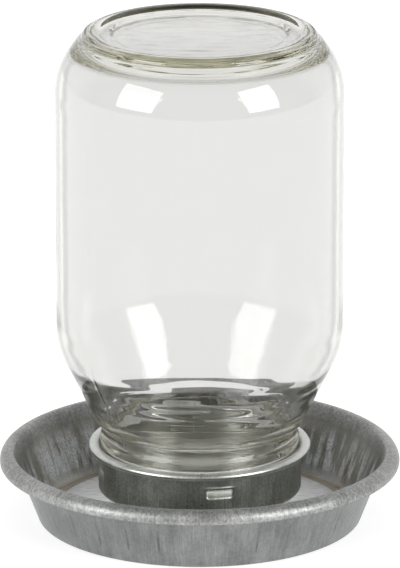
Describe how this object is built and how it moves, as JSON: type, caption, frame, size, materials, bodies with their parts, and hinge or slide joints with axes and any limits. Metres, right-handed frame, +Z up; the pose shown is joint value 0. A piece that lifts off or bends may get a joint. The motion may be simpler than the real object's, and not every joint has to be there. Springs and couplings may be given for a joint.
{
  "type": "poultry waterer",
  "caption": "Upside-down clear glass jar screwed into a low collar riveted to the raised middle of a round galvanised drinking tray with a rolled rim.",
  "frame": {"origin": "centre of the overall box in plan, on the surface that the tray stands on", "axes": "+Z up along the common axis of the jar, collar and tray; -Y towards the side with the lug seen head-on; +X to the right of that view"},
  "size_m": [0.14, 0.14, 0.1752],
  "materials": {
    "galvanised_tray": "satin galvanised sheet with fine drawing streaks",
    "galvanised_collar": "satin galvanised sheet, slightly darker",
    "rivet_metal": "satin",
    "jar_glass": "clear, faintly olive in thick edges"
  },
  "bodies": {
    "base": {"tray_pan": "galvanised_tray", "screw_collar": "galvanised_collar", "rivet_1": "rivet_metal", "rivet_2": "rivet_metal", "rivet_3": "rivet_metal", "rivet_4": "rivet_metal"},
    "jar": {"fount_jar": "jar_glass"}
  },
  "joints": [
    {"name": "jar_lift", "type": "slide", "parent": "base", "child": "jar", "axis": [0, 0, 1], "range_m": [0, 0.06]}
  ]
}
